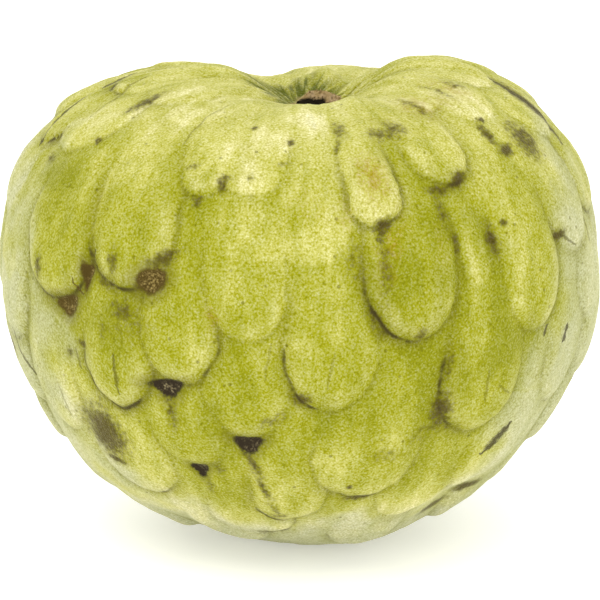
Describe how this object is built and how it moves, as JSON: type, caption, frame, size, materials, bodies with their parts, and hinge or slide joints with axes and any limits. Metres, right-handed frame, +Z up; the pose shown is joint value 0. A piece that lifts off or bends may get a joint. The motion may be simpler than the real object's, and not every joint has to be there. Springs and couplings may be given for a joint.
{
  "type": "cherimoya",
  "caption": "Whole cherimoya fruit, heart-shaped and round, with low overlapping tongue-shaped scales, a dimple with a corky stalk scar on top, and a small flat resting spot.",
  "frame": {"origin": "middle of the small flat spot at the blossom end that the fruit rests on", "axes": "+Z up through the stalk scar, the shortest way; +X to the right across the widest way; -Y to the front, the side that the picture shows"},
  "size_m": [0.1052, 0.1005, 0.0848],
  "materials": {
    "skin": "matt, faintly velvety fruit skin, yellow-green with paler scale rims and brown corky flecks"
  },
  "bodies": {
    "root": {"cherimoya_fruit": "skin"}
  },
  "joints": []
}
